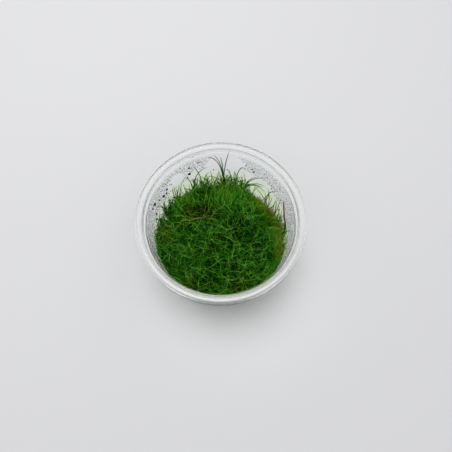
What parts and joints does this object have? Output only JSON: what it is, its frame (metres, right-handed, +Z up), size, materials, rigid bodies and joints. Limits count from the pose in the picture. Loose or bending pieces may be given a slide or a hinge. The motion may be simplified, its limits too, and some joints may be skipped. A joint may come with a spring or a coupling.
{
  "type": "dwarf hairgrass in a clear cup",
  "caption": "Open clear plastic cup holding a dense mat of fine dwarf hairgrass on nutrient gel, with longer blades that lean on its wall at the back.",
  "frame": {"origin": "middle of the cup's underside, on the surface that it stands on", "axes": "+Z up through the cup's mouth; -Y is the side that faces the viewer, so the tallest blades stand at +Y"},
  "size_m": [0.1, 0.1, 0.055],
  "materials": {
    "clear_plastic": "gloss",
    "nutrient_gel": "gloss",
    "hairgrass": "satin",
    "dead_leaf": "matte"
  },
  "bodies": {
    "root": {"cup": "clear_plastic", "nutrient_gel": "nutrient_gel", "turf": "hairgrass", "dead_leaf": "dead_leaf", "plantlet_tall_back": "hairgrass", "plantlet_back_left": "hairgrass", "plantlet_left_of_back": "hairgrass", "plantlet_back_right": "hairgrass", "plantlet_arching": "hairgrass", "plantlet_right_of_back": "hairgrass", "plantlet_right": "hairgrass", "plantlet_left": "hairgrass", "plantlet_far_left": "hairgrass"}
  },
  "joints": []
}
